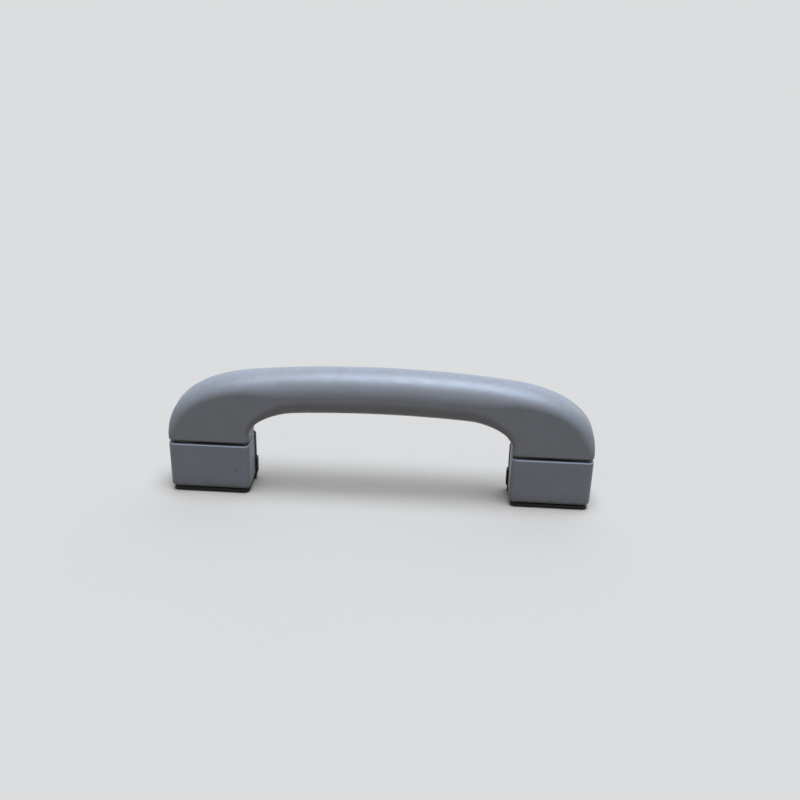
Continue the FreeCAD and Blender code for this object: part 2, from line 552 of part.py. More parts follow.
def build_cover(side_name, sign):
    """Open-backed cap over the bracket, with two snap catches."""
    body = new_body(f"{side_name}_screw_cover")
    centre = f"{sign} * {FOOT_CENTRE}"
    back = f"({PLATE_FRONT} - Sizes.cover_gap)"
    half = "(Sizes.foot_width / 2)"
    low = "Sizes.cover_lift"

    def trapezium(sketch, wall):
        inner = f"{-sign} * ({half} - {wall})"
        outer_low = f"{sign} * ({half} - Sizes.cover_taper - {wall})"
        outer_high = f"{sign} * ({half} - {wall})"
        outline(sketch, [(inner, f"{low} + {wall}"), (outer_low, f"{low} + {wall}"),
                         (outer_high, f"{COVER_TOP} - {wall}"), (inner, f"{COVER_TOP} - {wall}")])

    shell = new_sketch(body, f"{side_name}_cover_outline", "XZ_Plane", (centre, 0, f"-{back}"))
    trapezium(shell, "0")
    block = feature(body, "Pad", f"{side_name}_cover_block", shell, f"{back} - {FRONT}")
    front = value(FRONT)
    top = value(COVER_TOP)
    bottom = value(low)
    edge_at_back = value(back)

    def is_front_upright(edge):
        return lies_at(edge, "Y", front) and edge.BoundBox.ZLength > 1

    def is_rim(height):
        return lambda edge: lies_at(edge, "Z", height) and not lies_at(edge, "Y", edge_at_back)

    uprights = fillet(body, f"{side_name}_cover_uprights", block, is_front_upright, "Sizes.foot_corner")
    upper = fillet(body, f"{side_name}_cover_upper_edge", uprights, is_rim(top), "Sizes.cover_top_round")
    fillet(body, f"{side_name}_cover_lower_edge", upper, is_rim(bottom), "Sizes.cover_foot_round")
    hollow = new_sketch(body, f"{side_name}_cover_hollow_outline", "XZ_Plane", (centre, 0, f"-{back}"))
    trapezium(hollow, "Sizes.cover_wall")
    depth = f"{back} - {FRONT} - Sizes.cover_wall"
    feature(body, "Pocket", f"{side_name}_cover_hollow", hollow, depth, reversed_side=True)
    catches = new_sketch(body, f"{side_name}_catch_outline", "XZ_Plane", (centre, 0, f"-{back} + {OVERCUT}"))
    for catch_sign in (-1, 1):
        west, east, catch_low, catch_high = catch_edges(catch_sign, "0")
        rectangle(catches, west, east, catch_low, catch_high)
    feature(body, "Pad", f"{side_name}_catches", catches, f"Sizes.catch_reach + {OVERCUT}", reversed_side=True)
    return body


# Pieces on the pivot

def build_pin(side_name, sign):
    """Steel pin, snapped into the grip's side walls through both ears."""
    half = "(Sizes.pocket_width / 2 + Sizes.pin_seat - Sizes.pin_end_play)"
    bevel = "Sizes.pin_radius / 4"
    rim = f"Sizes.pin_radius - {bevel}"
    corners = [(f"-{half}", "0"), (half, "0"), (half, rim), (f"{half} - {bevel}", "Sizes.pin_radius"),
               (f"-{half} + {bevel}", "Sizes.pin_radius"), (f"-{half}", rim)]
    turned(f"{side_name}_pivot_pin", "X", (f"{sign} * {FOOT_CENTRE}", PIVOT_Y, PIVOT_Z), corners)


def build_bush(side_name, sign, ear_name, ear_sign):
    """Flanged bush in one ear, flange towards the side of the pocket."""
    face = f"({EAR_OUTER})"
    bore = "Sizes.pin_radius + Sizes.pin_play"
    corners = [(f"{ear_sign} * ({face} - Sizes.ear_wall)", bore),
               (f"{ear_sign} * ({face} + Sizes.bush_flange_wall)", bore),
               (f"{ear_sign} * ({face} + Sizes.bush_flange_wall)", "Sizes.bush_flange"),
               (f"{ear_sign} * {face}", "Sizes.bush_flange"),
               (f"{ear_sign} * {face}", "Sizes.bush_radius"),
               (f"{ear_sign} * ({face} - Sizes.ear_wall)", "Sizes.bush_radius")]
    turned(f"{side_name}_{ear_name}_bush", "X", (f"{sign} * {FOOT_CENTRE}", PIVOT_Y, PIVOT_Z), corners)


ROTOR_END = f"({EAR_INNER} - Sizes.rotor_gap)"
ARM_START = f"({ROTOR_END} - Sizes.key_wall)"


def build_damper():
    """Rotary damper on the right pin: a barrel keyed to the grip and a rotor keyed to the plate."""
    place = (FOOT_CENTRE, PIVOT_Y, PIVOT_Z)
    half = f"({ROTOR_END} - Sizes.rotor_overhang)"
    bore = "Sizes.rotor_radius + Sizes.rotor_play"
    barrel = turned("right_damper_barrel", "X", place,
                    [(f"-{half}", bore), (half, bore), (half, "Sizes.damper_radius"), (f"-{half}", "Sizes.damper_radius")])
    key = new_sketch(barrel, "barrel_key_outline", "XY_Plane", (FOOT_CENTRE, PIVOT_Y, PIVOT_Z))
    rectangle(key, "-Sizes.key_length / 2", "Sizes.key_length / 2", "-Sizes.key_wall", "0")
    feature(barrel, "Pad", "barrel_key", key, "Sizes.key_reach")
    clear = new_sketch(barrel, "barrel_bore_outline", "YZ_Plane", (0, 0, FOOT_CENTRE))
    circle(clear, PIVOT_Y, PIVOT_Z, bore)
    feature(barrel, "Pocket", "barrel_bore", clear, "Sizes.pocket_width", symmetric=True)

    hole = "Sizes.pin_radius + Sizes.pin_play"
    rotor = turned("right_damper_rotor", "X", place,
                   [(f"-{ROTOR_END}", hole), (ROTOR_END, hole), (ROTOR_END, "Sizes.rotor_radius"),
                    (f"-{ROTOR_END}", "Sizes.rotor_radius")])
    arm = new_sketch(rotor, "rotor_arm_outline", "XY_Plane", (FOOT_CENTRE, 0, PIVOT_Z))
    tip = f"{PLATE_FRONT} + Sizes.key_depth - Sizes.key_gap"
    rectangle(arm, ARM_START, ROTOR_END, f"{PIVOT_Y} + Sizes.pin_radius + Sizes.key_depth / 2", tip)
    feature(rotor, "Pad", "rotor_arm", arm, "Sizes.key_wall", symmetric=True)


def build_sleeve(side_name, sign):
    """Steel sleeve that takes the screw's clamping load through the boss."""
    front = f"({PLATE_FRONT} - Sizes.boss_reach)"
    corners = [(front, "Sizes.screw_radius"), (MOUNT, "Sizes.screw_radius"),
               (MOUNT, "Sizes.sleeve_radius"), (front, "Sizes.sleeve_radius")]
    turned(f"{side_name}_screw_sleeve", "Y", (f"{sign} * {FOOT_CENTRE}", 0, SCREW_Z), corners)


def build_stop(side_name, sign):
    """Rubber stop on top of the bracket's tongue, held by a stem."""
    body = new_body(f"{side_name}_stop_pad")
    centre = f"{sign} * {FOOT_CENTRE}"
    tongue_top = f"({PIVOT_Z} + Sizes.ear_root)"
    sketch = new_sketch(body, f"{side_name}_stop_outline", "XY_Plane", (centre, 0, tongue_top))
    margin = "(Sizes.plate_wall / 8)"
    round_rectangle(sketch, "-Sizes.pad_width / 2", "Sizes.pad_width / 2", f"{PLATE_FRONT} + {margin}",
                    f"{MOUNT} - Sizes.stand_off - {margin}", ("(Sizes.pad_stem / 2)",) * 4)
    feature(body, "Pad", f"{side_name}_stop", sketch, "Sizes.pad_wall")
    stem = new_sketch(body, f"{side_name}_stop_stem_outline", "XY_Plane", (centre, 0, tongue_top))
    circle(stem, "0", f"{PLATE_FRONT} + Sizes.plate_wall / 2", "Sizes.pad_stem")
    feature(body, "Pad", f"{side_name}_stop_stem", stem, "Sizes.pad_stem_depth", reversed_side=True)


build_grip()
build_spring()
for side_name, sign in SIDES:
    build_bracket(side_name, sign)
    build_cover(side_name, sign)
    build_pin(side_name, sign)
    for ear_name, ear_sign in (("inner", -sign), ("outer", sign)):
        build_bush(side_name, sign, ear_name, ear_sign)
    build_sleeve(side_name, sign)
    build_stop(side_name, sign)
build_damper()

# Checks and export

doc.recompute()
for item in doc.Objects:
    if "Invalid" in item.State or "Error" in item.State:
        raise RuntimeError(f"{item.Label} did not compute: {item.State}")
os.makedirs("parts", exist_ok=True)
for node in nodes:
    if node.Shape.isNull() or not node.Shape.isValid():
        raise RuntimeError(f"{node.Label} is not a valid solid")
    node.Shape.exportStep(f"parts/{node.Label}.step")
    box = node.Shape.BoundBox
    print(f"{node.Label}: {len(node.Shape.Solids)} solid, {node.Shape.Volume:.1f} mm3, "
          f"X {box.XMin:.2f} to {box.XMax:.2f}, Y {box.YMin:.2f} to {box.YMax:.2f}, "
          f"Z {box.ZMin:.2f} to {box.ZMax:.2f}")
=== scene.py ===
import json
import math

import bpy
from mathutils import Matrix, Vector

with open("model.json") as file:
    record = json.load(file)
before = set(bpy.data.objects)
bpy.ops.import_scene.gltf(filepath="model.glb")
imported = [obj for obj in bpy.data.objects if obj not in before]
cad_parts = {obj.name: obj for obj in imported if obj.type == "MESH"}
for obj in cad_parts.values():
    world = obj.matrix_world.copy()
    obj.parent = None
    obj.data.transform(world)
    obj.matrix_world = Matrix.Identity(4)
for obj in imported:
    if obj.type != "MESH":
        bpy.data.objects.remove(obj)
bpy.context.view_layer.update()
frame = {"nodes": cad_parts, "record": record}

bl_info = {
    "name": "Roof grab handle finish",
    "version": (1, 0, 0),
    "blender": (4, 5, 0),
    "location": "3D View > Sidebar > Grab handle",
    "description": "Finishes a folding roof grab handle and sets up its studio",
    "category": "Object",
}

MM = 0.001
FEET = ("left", "right")
EARS = ("inner", "outer")
RECORD_COLOURS = {entry["slot"]: entry["base_color"] for entry in frame["record"]["materials"]}

# Tones of dust and marks, of painted shade in the seams and of a painted floor reflection
DUST_ON_GREY = (0.42, 0.42, 0.41, 1.0)
DUST_ON_BLACK = (0.12, 0.116, 0.108, 1.0)
# Painted shade in the seam under the grip's feet
PAINTED_SEAM_SHADE = (0.02, 0.02, 0.023, 1.0)
# Painted reflection of a brown floor, dark and warm, on the covers' lower edge
PAINTED_FLOOR_REFLECTION = (0.13, 0.11, 0.1, 1.0)
DARK_MARK = (0.04, 0.04, 0.045, 1.0)

# Heights above the floor where painted seam shade, floor reflection and rim highlight fade, at rest
PAINTED_SEAM_SHADE_HEIGHTS = (30.7 * MM, 31.5 * MM)
PAINTED_FLOOR_REFLECTION_HEIGHTS = (3 * MM, 10 * MM)
PAINTED_RIM_HIGHLIGHT_HEIGHTS = (27.7 * MM, 28.3 * MM)

# Distances from the middle between which the polish of the palm fades
PALM_REACH = (20 * MM, 75 * MM)

# Centre of the dark mark on the left cover, and the distances from it between which it fades
MARK_PLACE = (-77.0 * MM, -10.3 * MM, 14.0 * MM)
MARK_RADII = (0.3 * MM, 0.9 * MM)

# Camera frame and floor
PHOTO_PIXELS = 800
SENSOR_MM = 36.0
NEAREST_SEEN = 10 * MM
FLOOR_RADIUS = 12.0
FLOOR_SIDES = 128


def recorded_colour(slot):
    """Base colour that the record states for a material slot."""
    return tuple(RECORD_COLOURS[slot]) + (1.0,)


# Sizes and colours that a user would change

class GrabHandlePlastics(bpy.types.PropertyGroup):
    """Moulded plastics of the grip, covers and brackets."""

    grey: bpy.props.FloatVectorProperty(
        name="Grey", description="Colour of the grip and the screw covers", subtype="COLOR",
        size=4, min=0.0, max=1.0, default=recorded_colour("grey_plastic"))
    black: bpy.props.FloatVectorProperty(
        name="Black", description="Colour of the hinge brackets", subtype="COLOR",
        size=4, min=0.0, max=1.0, default=recorded_colour("black_plastic"))
    acetal: bpy.props.FloatVectorProperty(
        name="Acetal", description="Colour of the bushes and the damper rotor", subtype="COLOR",
        size=4, min=0.0, max=1.0, default=recorded_colour("white_acetal"))
    rubber: bpy.props.FloatVectorProperty(
        name="Rubber", description="Colour of the stop pads", subtype="COLOR",
        size=4, min=0.0, max=1.0, default=recorded_colour("rubber"))
    grain: bpy.props.FloatProperty(
        name="Grain", description="Width of one cell of the moulded grain", unit="LENGTH",
        default=0.45 * MM, min=0.1 * MM, max=2 * MM)
    grain_depth: bpy.props.FloatProperty(
        name="Grain depth", description="Depth of the moulded grain", unit="LENGTH",
        default=0.02 * MM, min=0.0, max=0.2 * MM)


class GrabHandleMetals(bpy.types.PropertyGroup):
    """Steel pieces on the pivots and screws."""

    steel: bpy.props.FloatVectorProperty(
        name="Zinc steel", description="Colour of the pins and sleeves", subtype="COLOR",
        size=4, min=0.0, max=1.0, default=recorded_colour("steel"))
    spring: bpy.props.FloatVectorProperty(
        name="Spring steel", description="Colour of the return spring", subtype="COLOR",
        size=4, min=0.0, max=1.0, default=recorded_colour("spring_steel"))
    tool_pitch: bpy.props.FloatProperty(
        name="Turning pitch", description="Distance between the lines that turning leaves",
        unit="LENGTH", default=0.25 * MM, min=0.05 * MM, max=2 * MM)


class GrabHandleStage(bpy.types.PropertyGroup):
    """Floor, lamps and camera."""

    floor: bpy.props.FloatVectorProperty(
        name="Floor", description="Colour of the plain floor", subtype="COLOR",
        size=4, min=0.0, max=1.0, default=(0.61, 0.523, 0.431, 1.0))
    surroundings: bpy.props.FloatVectorProperty(
        name="Surroundings", description="Pale tone that is seen beyond the floor",
        subtype="COLOR", size=4, min=0.0, max=1.0, default=(0.715, 0.722, 0.73, 1.0))
    floor_bounce: bpy.props.FloatProperty(
        name="Floor bounce", subtype="FACTOR", default=0.15, min=0.0, max=1.0,
        description="Share of the floor's colour that lights the handle from below")
    overhead_light: bpy.props.FloatProperty(
        name="Overhead light", description="Strength of the broad light overhead",
        default=4.3, min=0.0)
    window_light: bpy.props.FloatProperty(
        name="Window light", description="Strength of the soft light from behind",
        default=1.2, min=0.0)
    front_light: bpy.props.FloatProperty(
        name="Front light", description="Strength of the soft light from the front",
        default=0.1, min=0.0)
    room_light: bpy.props.FloatProperty(
        name="Room light", description="Strength of the even light all round",
        default=0.08, min=0.0)
    focal_pixels: bpy.props.FloatProperty(
        name="Focal length", description="Focal length in pixels of the 800 pixel frame",
        default=1120.0, min=100.0)
    pitch: bpy.props.FloatProperty(
        name="Pitch", description="Camera's look down", subtype="ANGLE",
        default=math.radians(25.0))
    yaw: bpy.props.FloatProperty(
        name="Yaw", description="Camera's turn towards +X", subtype="ANGLE",
        default=math.radians(-2.95))
    roll: bpy.props.FloatProperty(
        name="Roll", description="Camera's tilt", subtype="ANGLE", default=math.radians(1.38))
    camera_place: bpy.props.FloatVectorProperty(
        name="Camera place", description="Where the camera stands", subtype="TRANSLATION",
        size=3, unit="LENGTH", default=(37.2 * MM, -533.1 * MM, 304.5 * MM))


def plastics():
    """Plastic settings of the open scene."""
    return bpy.context.scene.grab_handle_plastics


def metals():
    """Metal settings of the open scene."""
    return bpy.context.scene.grab_handle_metals


def studio():
    """Stage settings of the open scene."""
    return bpy.context.scene.grab_handle_stage


# Node trees

def feed(tree, socket, given):
    """Links a socket or sets its value."""
    if isinstance(given, bpy.types.NodeSocket):
        tree.links.new(given, socket)
    else:
        socket.default_value = given


def add_node(tree, kind, label, inputs=None, **settings):
    """Node with its label, settings and inputs."""
    made = tree.nodes.new(kind)
    made.label = label
    for name, setting in settings.items():
        setattr(made, name, setting)
    for name, given in (inputs or {}).items():
        feed(tree, made.inputs[name], given)
    return made


def calculate(tree, operation, first, second=0.0, clamp=False):
    """Output of a Math node."""
    made = add_node(tree, "ShaderNodeMath", operation.title(), {0: first, 1: second},
                    operation=operation, use_clamp=clamp)
    return made.outputs[0]


def fade(tree, source, low, high, to_low=0.0, to_high=1.0):
    """Source value moved smoothly from one range to another, without leaving it."""
    ends = {"Value": source, "From Min": low, "From Max": high, "To Min": to_low, "To Max": to_high}
    made = add_node(tree, "ShaderNodeMapRange", "Fade", ends, interpolation_type="SMOOTHSTEP")
    return made.outputs["Result"]


def between(tree, mask, low, high):
    """Value that runs smoothly from low to high where a mask runs from 0 to 1."""
    return fade(tree, mask, 0.0, 1.0, low, high)


def blend_colours(tree, mask, first, second):
    """Colour between two others, by a mask."""
    made = add_node(tree, "ShaderNodeMix", "Blend colours", data_type="RGBA")
    for index, given in ((0, mask), (6, first), (7, second)):
        feed(tree, made.inputs[index], given)
    return made.outputs[2]


def noise(tree, vector, cell, detail=3.0, roughness=0.5):
    """Noise whose features are about one cell wide."""
    scale = calculate(tree, "DIVIDE", 1.0, cell)
    inputs = {"Vector": vector, "Scale": scale, "Detail": detail, "Roughness": roughness}
    return add_node(tree, "ShaderNodeTexNoise", "Noise", inputs).outputs["Fac"]


def apart(tree, vector):
    """X, Y and Z of a vector."""
    return add_node(tree, "ShaderNodeSeparateXYZ", "Axes", {0: vector}).outputs


def new_group(name, inputs, outputs):
    """Empty shader group with its sockets; returns the group, its inputs and its output node."""
    group = bpy.data.node_groups.new(name, "ShaderNodeTree")
    for socket, kind in inputs:
        group.interface.new_socket(socket, in_out="INPUT", socket_type=f"NodeSocket{kind}")
    for socket, kind in outputs:
        group.interface.new_socket(socket, in_out="OUTPUT", socket_type=f"NodeSocket{kind}")
    return group, group.nodes.new("NodeGroupInput").outputs, group.nodes.new("NodeGroupOutput")


def grain_group():
    """Fine leathery grain of a spark-eroded mould: raised cells with narrow valleys."""
    group, given, result = new_group(
        "Moulded grain", (("Vector", "Vector"), ("Cell", "Float"), ("Depth", "Float")),
        (("Height", "Float"),))
    wander = noise(group, given["Vector"], calculate(group, "MULTIPLY", given["Cell"], 2.5))
    push = calculate(group, "MULTIPLY", wander, given["Cell"])
    uneven = add_node(group, "ShaderNodeVectorMath", "Uneven cells",
                      {0: given["Vector"], 1: push}, operation="ADD").outputs[0]
    scale = calculate(group, "DIVIDE", 1.0, given["Cell"])
    cells = add_node(group, "ShaderNodeTexVoronoi", "Cells", {"Vector": uneven, "Scale": scale})
    dome = fade(group, cells.outputs["Distance"], 0.1, 0.75, to_low=1.0, to_high=0.0)
    pimple = calculate(group, "MULTIPLY", given["Cell"], 0.4)
    fine = noise(group, given["Vector"], pimple, detail=2.0)
    both = calculate(group, "ADD", dome, calculate(group, "MULTIPLY", fine, 0.35))
    height = calculate(group, "MULTIPLY", both, given["Depth"])
    group.links.new(height, result.inputs["Height"])
    return group


def mottle_group():
    """Uneven tone of an old moulding: broad clouds with smaller flecks in them."""
    group, given, result = new_group(
        "Mottled tone", (("Vector", "Vector"), ("Cloud", "Float"), ("Fleck", "Float")),
        (("Mask", "Float"),))
    broad = noise(group, given["Vector"], given["Cloud"], detail=4.0, roughness=0.6)
    clouds = fade(group, broad, 0.34, 0.66)
    small = noise(group, given["Vector"], given["Fleck"], detail=3.0, roughness=0.6)
    flecks = fade(group, small, 0.3, 0.7)
    mask = calculate(group, "ADD", calculate(group, "MULTIPLY", clouds, 0.6),
                     calculate(group, "MULTIPLY", flecks, 0.4))
    group.links.new(mask, result.inputs["Mask"])
    return group


def scratch_group():
    """Thin broken scratches that run mostly one way."""
    group, given, result = new_group(
        "Fine scratches", (("Vector", "Vector"), ("Width", "Float"), ("Share", "Float")),
        (("Mask", "Float"),))
    masks = []
    for rotation, stretch in (((0.0, 0.25, 0.25), (0.06, 1.0, 1.0)),
                              ((0.4, -0.5, -0.5), (1.0, 0.08, 1.0))):
        spread = add_node(group, "ShaderNodeMapping", "Scratch direction",
                          {"Vector": given["Vector"], "Rotation": rotation, "Scale": stretch})
        lines = noise(group, spread.outputs[0], given["Width"], detail=2.0, roughness=0.4)
        edge = calculate(group, "SUBTRACT", 0.78, calculate(group, "MULTIPLY", given["Share"], 0.2))
        masks.append(fade(group, lines, edge, calculate(group, "ADD", edge, 0.05)))
    patch = calculate(group, "MULTIPLY", given["Width"], 40.0)
    patches = noise(group, given["Vector"], patch, detail=2.0)
    broken = calculate(group, "MULTIPLY", calculate(group, "MAXIMUM", *masks),
                       fade(group, patches, 0.45, 0.6))
    group.links.new(broken, result.inputs["Mask"])
    return group


def dust_group():
    """Dust that lies on what faces up, and thins out in patches."""
    group, given, result = new_group(
        "Settled dust", (("Vector", "Vector"), ("Cell", "Float"), ("Amount", "Float")),
        (("Mask", "Float"),))
    surface = add_node(group, "ShaderNodeNewGeometry", "Surface")
    facing = add_node(group, "ShaderNodeSeparateXYZ", "Facing up", {0: surface.outputs["Normal"]})
    upward = fade(group, facing.outputs["Z"], 0.2, 0.95)
    cloud = noise(group, given["Vector"], given["Cell"], detail=5.0, roughness=0.7)
    settled = calculate(group, "MULTIPLY", upward, fade(group, cloud, 0.4, 0.72))
    mask = calculate(group, "MULTIPLY", settled, given["Amount"], clamp=True)
    group.links.new(mask, result.inputs["Mask"])
    return group


def turning_group():
    """Rings that a turning tool leaves along an axis."""
    group, given, result = new_group(
        "Turned rings", (("Along", "Float"), ("Pitch", "Float"), ("Depth", "Float")),
        (("Height", "Float"),))
    per_radian = calculate(group, "DIVIDE", given["Pitch"], math.tau)
    wave = calculate(group, "SINE", calculate(group, "DIVIDE", given["Along"], per_radian))
    height = calculate(group, "MULTIPLY", wave, given["Depth"])
    group.links.new(height, result.inputs["Height"])
    return group


GROUP_MAKERS = {"grain": grain_group, "mottle": mottle_group, "scratch": scratch_group,
                "dust": dust_group, "turning": turning_group}
GROUPS = {}


def effect(tree, name, **inputs):
    """Outputs of a shared effect, built once and placed with this material's own values."""
    if name not in GROUPS:
        GROUPS[name] = GROUP_MAKERS[name]()
    made = add_node(tree, "ShaderNodeGroup", GROUPS[name].name, inputs, node_tree=GROUPS[name])
    return made.outputs


def new_material(name):
    """Material with a Principled shader; returns it, its tree, shader and Object coordinates."""
    material = bpy.data.materials.new(name)
    material.use_nodes = True
    tree = material.node_tree
    shader = tree.nodes["Principled BSDF"]
    place = add_node(tree, "ShaderNodeTexCoord", "Object coordinates").outputs["Object"]
    return material, tree, shader, place


def raise_surface(tree, shader, height):
    """Feeds a height in metres to the shader's normal."""
    relief = {"Height": height, "Strength": 1.0, "Distance": 1.0}
    bump = add_node(tree, "ShaderNodeBump", "Relief", relief)
    tree.links.new(bump.outputs["Normal"], shader.inputs["Normal"])


def tinted(colour, factor, warmth=0.0):
    """Colour made lighter or darker, and warmer or cooler."""
    red, green, blue, alpha = colour
    return (red * factor * (1 + warmth), green * factor, blue * factor * (1 - warmth), alpha)


# Finishes

def moulded_grey(name, grey, extra):
    """Satin grey plastic with moulded grain, uneven tone, dust and fine scratches."""
    sizes = plastics()
    material, tree, shader, place = new_material(name)
    mottle = effect(tree, "mottle", Vector=place, Cloud=14 * MM, Fleck=1.6 * MM)["Mask"]
    colour = blend_colours(tree, mottle, tinted(grey, 0.93, 0.01), tinted(grey, 1.06, -0.01))
    dust = effect(tree, "dust", Vector=place, Cell=5 * MM, Amount=0.16)["Mask"]
    colour = blend_colours(tree, dust, colour, DUST_ON_GREY)
    scratches = effect(tree, "scratch", Vector=place, Width=0.25 * MM, Share=0.5)["Mask"]
    pale = calculate(tree, "MULTIPLY", scratches, 0.35)
    colour = blend_colours(tree, pale, colour, tinted(grey, 1.8))
    dulled = calculate(tree, "MULTIPLY", dust, 0.3)
    roughness = calculate(tree, "ADD", between(tree, mottle, 0.42, 0.48), dulled)
    colour, roughness = extra(tree, place, colour, roughness)
    tree.links.new(colour, shader.inputs["Base Color"])
    tree.links.new(roughness, shader.inputs["Roughness"])
    shader.inputs["Specular IOR Level"].default_value = 0.8
    grain = effect(tree, "grain", Vector=place, Cell=sizes.grain, Depth=sizes.grain_depth)
    cut = calculate(tree, "MULTIPLY", scratches, -0.012 * MM)
    raise_surface(tree, shader, calculate(tree, "ADD", grain["Height"], cut))
    return material


def grip_polish_and_seam_shade(tree, place, colour, roughness):
    """Middle of the grip worn smoother by hands, and painted shade in the seams under its feet."""
    axes = apart(tree, place)
    # Painted shade: the grip's lower edge just above the covers is darkened like the seam's shadow
    seam = fade(tree, axes["Z"], *PAINTED_SEAM_SHADE_HEIGHTS, to_low=0.9, to_high=0.0)
    colour = blend_colours(tree, seam, colour, PAINTED_SEAM_SHADE)
    from_middle = calculate(tree, "ABSOLUTE", axes["X"])
    middle = fade(tree, from_middle, *PALM_REACH, to_low=1.0, to_high=0.0)
    cloud = noise(tree, place, 7 * MM, detail=4.0, roughness=0.65)
    streaks = fade(tree, cloud, 0.35, 0.65)
    polish = calculate(tree, "MULTIPLY", middle, streaks)
    smoothed = calculate(tree, "MULTIPLY", polish, 0.07)
    return colour, calculate(tree, "SUBTRACT", roughness, smoothed)


def cover_mark_and_painted_light(tree, place, colour, roughness):
    """Painted reflection of a brown floor along the covers' lower edge, a painted highlight on the
    top rim and one dark mark on the left cover.
    """
    height = apart(tree, place)["Z"]
    # Painted reflection: a dark brown floor tint, in patches, fading up from the covers' lower edge
    edge = fade(tree, height, *PAINTED_FLOOR_REFLECTION_HEIGHTS, to_low=1.0, to_high=0.0)
    cloud = noise(tree, place, 4 * MM, detail=4.0)
    patches = fade(tree, cloud, 0.3, 0.7, to_low=0.25, to_high=0.6)
    colour = blend_colours(tree, calculate(tree, "MULTIPLY", edge, patches), colour, PAINTED_FLOOR_REFLECTION)
    # Painted highlight: the covers' top edge is made paler, as if it caught the light
    rim = fade(tree, height, *PAINTED_RIM_HIGHLIGHT_HEIGHTS, to_low=0.0, to_high=0.5)
    colour = blend_colours(tree, rim, colour, tinted(plastics().grey, 1.5))
    from_mark = add_node(tree, "ShaderNodeVectorMath", "Distance to the mark",
                         {0: place, 1: MARK_PLACE}, operation="DISTANCE").outputs["Value"]
    mark = fade(tree, from_mark, *MARK_RADII, to_low=0.55, to_high=0.0)
    return blend_colours(tree, mark, colour, DARK_MARK), roughness


def black_moulding():
    """Matt black bracket plastic with flow marks, dust and scratches."""
    sizes = plastics()
    material, tree, shader, place = new_material("Black bracket plastic")
    flow = effect(tree, "mottle", Vector=place, Cloud=9 * MM, Fleck=1.2 * MM)["Mask"]
    colour = blend_colours(tree, flow, tinted(sizes.black, 0.5), tinted(sizes.black, 1.1))
    dust = effect(tree, "dust", Vector=place, Cell=3 * MM, Amount=0.2)["Mask"]
    colour = blend_colours(tree, dust, colour, DUST_ON_BLACK)
    scratches = effect(tree, "scratch", Vector=place, Width=0.2 * MM, Share=0.6)["Mask"]
    pale = calculate(tree, "MULTIPLY", scratches, 0.5)
    colour = blend_colours(tree, pale, colour, tinted(sizes.black, 6))
    tree.links.new(colour, shader.inputs["Base Color"])
    tree.links.new(between(tree, flow, 0.52, 0.66), shader.inputs["Roughness"])
    shader.inputs["Specular IOR Level"].default_value = 0.35
    grain = effect(tree, "grain", Vector=place, Cell=sizes.grain * 0.7,
                   Depth=sizes.grain_depth * 0.6)
    raise_surface(tree, shader, grain["Height"])
    return material


def machined_acetal():
    """Creamy smooth bearing plastic with faint rings along X."""
    acetal = plastics().acetal
    material, tree, shader, place = new_material("White acetal")
    mottle = effect(tree, "mottle", Vector=place, Cloud=3 * MM, Fleck=0.5 * MM)["Mask"]
    colour = blend_colours(tree, mottle, tinted(acetal, 0.92, 0.03), tinted(acetal, 1.02))
    tree.links.new(colour, shader.inputs["Base Color"])
    tree.links.new(between(tree, mottle, 0.28, 0.4), shader.inputs["Roughness"])
    rings = effect(tree, "turning", Along=apart(tree, place)["X"], Pitch=0.3 * MM,
                   Depth=0.002 * MM)
    raise_surface(tree, shader, rings["Height"])
    return material


def turned_steel(name, axis, roughness, depth):
    """Bright steel with turning rings along an axis and dull patches."""
    steel = metals().steel
    material, tree, shader, place = new_material(name)
    mottle = effect(tree, "mottle", Vector=place, Cloud=4 * MM, Fleck=0.6 * MM)["Mask"]
    colour = blend_colours(tree, mottle, tinted(steel, 0.78, 0.02), tinted(steel, 1.08))
    tree.links.new(colour, shader.inputs["Base Color"])
    shader.inputs["Metallic"].default_value = 1.0
    tree.links.new(between(tree, mottle, roughness, roughness + 0.16), shader.inputs["Roughness"])
    rings = effect(tree, "turning", Along=apart(tree, place)[axis], Pitch=metals().tool_pitch,
                   Depth=depth)
    raise_surface(tree, shader, rings["Height"])
    return material


def drawn_wire():
    """Oiled spring wire with drawing marks and dark specks."""
    wire = metals().spring
    material, tree, shader, place = new_material("Oiled spring wire")
    mottle = effect(tree, "mottle", Vector=place, Cloud=1.5 * MM, Fleck=0.3 * MM)["Mask"]
    colour = blend_colours(tree, mottle, tinted(wire, 0.55, 0.04), tinted(wire, 1.1))
    tree.links.new(colour, shader.inputs["Base Color"])
    shader.inputs["Metallic"].default_value = 1.0
    tree.links.new(between(tree, mottle, 0.5, 0.28), shader.inputs["Roughness"])
    scratches = effect(tree, "scratch", Vector=place, Width=0.06 * MM, Share=0.9)["Mask"]
    raise_surface(tree, shader, calculate(tree, "MULTIPLY", scratches, -0.006 * MM))
    return material


def moulded_rubber():
    """Dull black rubber with a bloom of dust."""
    rubber = plastics().rubber
    material, tree, shader, place = new_material("Stop rubber")
    mottle = effect(tree, "mottle", Vector=place, Cloud=3 * MM, Fleck=0.4 * MM)["Mask"]
    colour = blend_colours(tree, mottle, tinted(rubber, 0.8), tinted(rubber, 2.0, 0.05))
    tree.links.new(colour, shader.inputs["Base Color"])
    tree.links.new(between(tree, mottle, 0.7, 0.9), shader.inputs["Roughness"])
    grain = effect(tree, "grain", Vector=place, Cell=0.25 * MM, Depth=0.01 * MM)
    raise_surface(tree, shader, grain["Height"])
    return material


def dress(material, *names):
    """Gives CAD nodes a material in their own slots."""
    for name in names:
        slots = frame["nodes"][name].material_slots
        if not slots:
            frame["nodes"][name].data.materials.append(material)
        for slot in slots:
            slot.material = material


def both_feet(piece):
    """Names of the left and the right node of a piece."""
    return [f"{side}_{piece}" for side in FEET]


# Operators, one for each piece or group of like pieces

